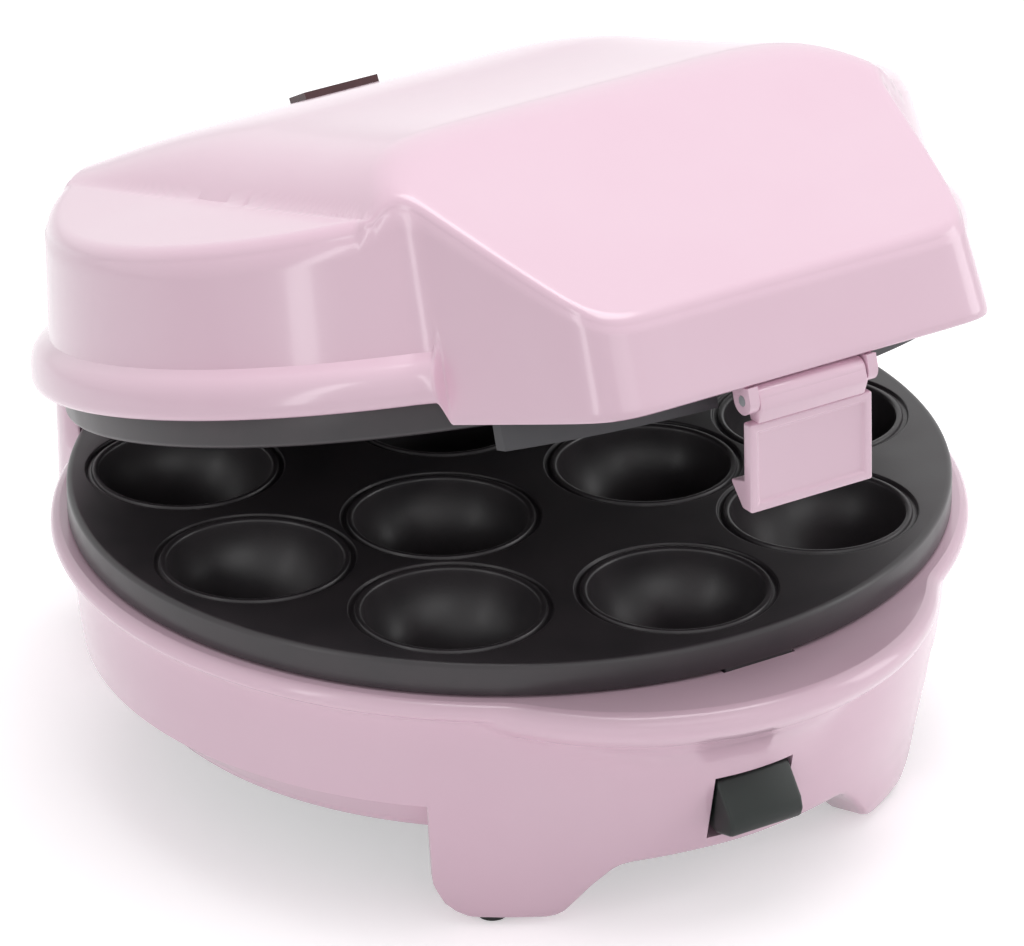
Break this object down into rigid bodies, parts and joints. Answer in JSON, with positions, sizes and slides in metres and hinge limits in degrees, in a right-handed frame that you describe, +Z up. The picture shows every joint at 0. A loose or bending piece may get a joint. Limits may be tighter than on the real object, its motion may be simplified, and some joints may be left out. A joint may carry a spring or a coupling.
{
  "type": "cake pop maker",
  "caption": "Round countertop cake pop maker: a hinged lid with a front latch over two non-stick plates with round pits and release levers.",
  "frame": {"origin": "on the surface it stands on, below the centre of the round cooking plates", "axes": "+Z up, front latch toward -Y, +X to the right seen from the front"},
  "size_m": [0.2168, 0.2442, 0.1757],
  "materials": {
    "pink_plastic": "glossy moulded plastic, pale pink",
    "non_stick": "cast aluminium with black non-stick coating",
    "steel": "plain zinc-plated steel",
    "bright_sheet": "bright pressed aluminium sheet",
    "dark_lever": "satin moulded plastic, very dark green",
    "guard_grey": "matt moulded plastic, dark grey",
    "rubber_pad": "soft rubber",
    "element_steel": "heat-stained steel tube",
    "white_ceramic": "white heatproof moulding",
    "cover_grey": "matt moulded plastic, light grey",
    "red_lens": "clear dark red lens",
    "lamp_glass": "small glass lamp",
    "bezel_dark": "dark brown moulded plastic"
  },
  "bodies": {
    "base": {"base_shell": "pink_plastic", "bottom_cover": "cover_grey", "bottom_screws": "steel", "rubber_feet": "rubber_pad", "lower_plate": "non_stick", "lower_pan": "bright_sheet", "lower_pan_screws": "steel", "lower_element": "element_steel", "lower_element_clamps": "steel", "lower_thermostat": "steel", "thermal_fuse": "white_ceramic", "terminal_block": "white_ceramic", "cord_gland": "pink_plastic", "lower_rear_clips": "steel", "hinge_pins": "steel", "lower_lever_pin": "steel"},
    "lower_lever": {"lower_release_lever": "dark_lever", "lower_lever_spring": "steel"},
    "lid": {"lid_shell": "pink_plastic", "lid_frame": "pink_plastic", "lid_screws": "steel", "nose_guard": "guard_grey", "upper_plate": "non_stick", "upper_pan": "bright_sheet", "upper_pan_screws": "steel", "upper_element": "element_steel", "upper_element_clamps": "steel", "upper_thermostat": "steel", "upper_rear_clips": "steel", "lamp_bezel": "bezel_dark", "lamp_lens": "red_lens", "indicator_lamp": "lamp_glass", "latch_pin": "steel", "upper_lever_pin": "steel"},
    "upper_lever": {"upper_release_lever": "dark_lever", "upper_lever_spring": "steel"},
    "latch": {"latch": "pink_plastic"}
  },
  "joints": [
    {"name": "lid_hinge", "type": "hinge", "parent": "base", "child": "lid", "pos_m": [0, 0.11, 0.083], "axis": [-1, 0, 0], "range_deg": [-16.5, 78.5]},
    {"name": "latch_hinge", "type": "hinge", "parent": "lid", "child": "latch", "pos_m": [0, -0.11862, 0.13581], "axis": [-1, 0, 0], "range_deg": [0, 35]},
    {"name": "lower_lever_pivot", "type": "hinge", "parent": "base", "child": "lower_lever", "pos_m": [0, -0.089, 0.028], "axis": [1, 0, 0], "range_deg": [0, 5], "stiffness_Nm_per_rad": 0.3, "springref_deg": -5.73},
    {"name": "upper_lever_pivot", "type": "hinge", "parent": "lid", "child": "upper_lever", "pos_m": [0, -0.10115, 0.13772], "axis": [1, 0, 0], "range_deg": [0, 16], "stiffness_Nm_per_rad": 0.15, "springref_deg": -8.59}
  ]
}
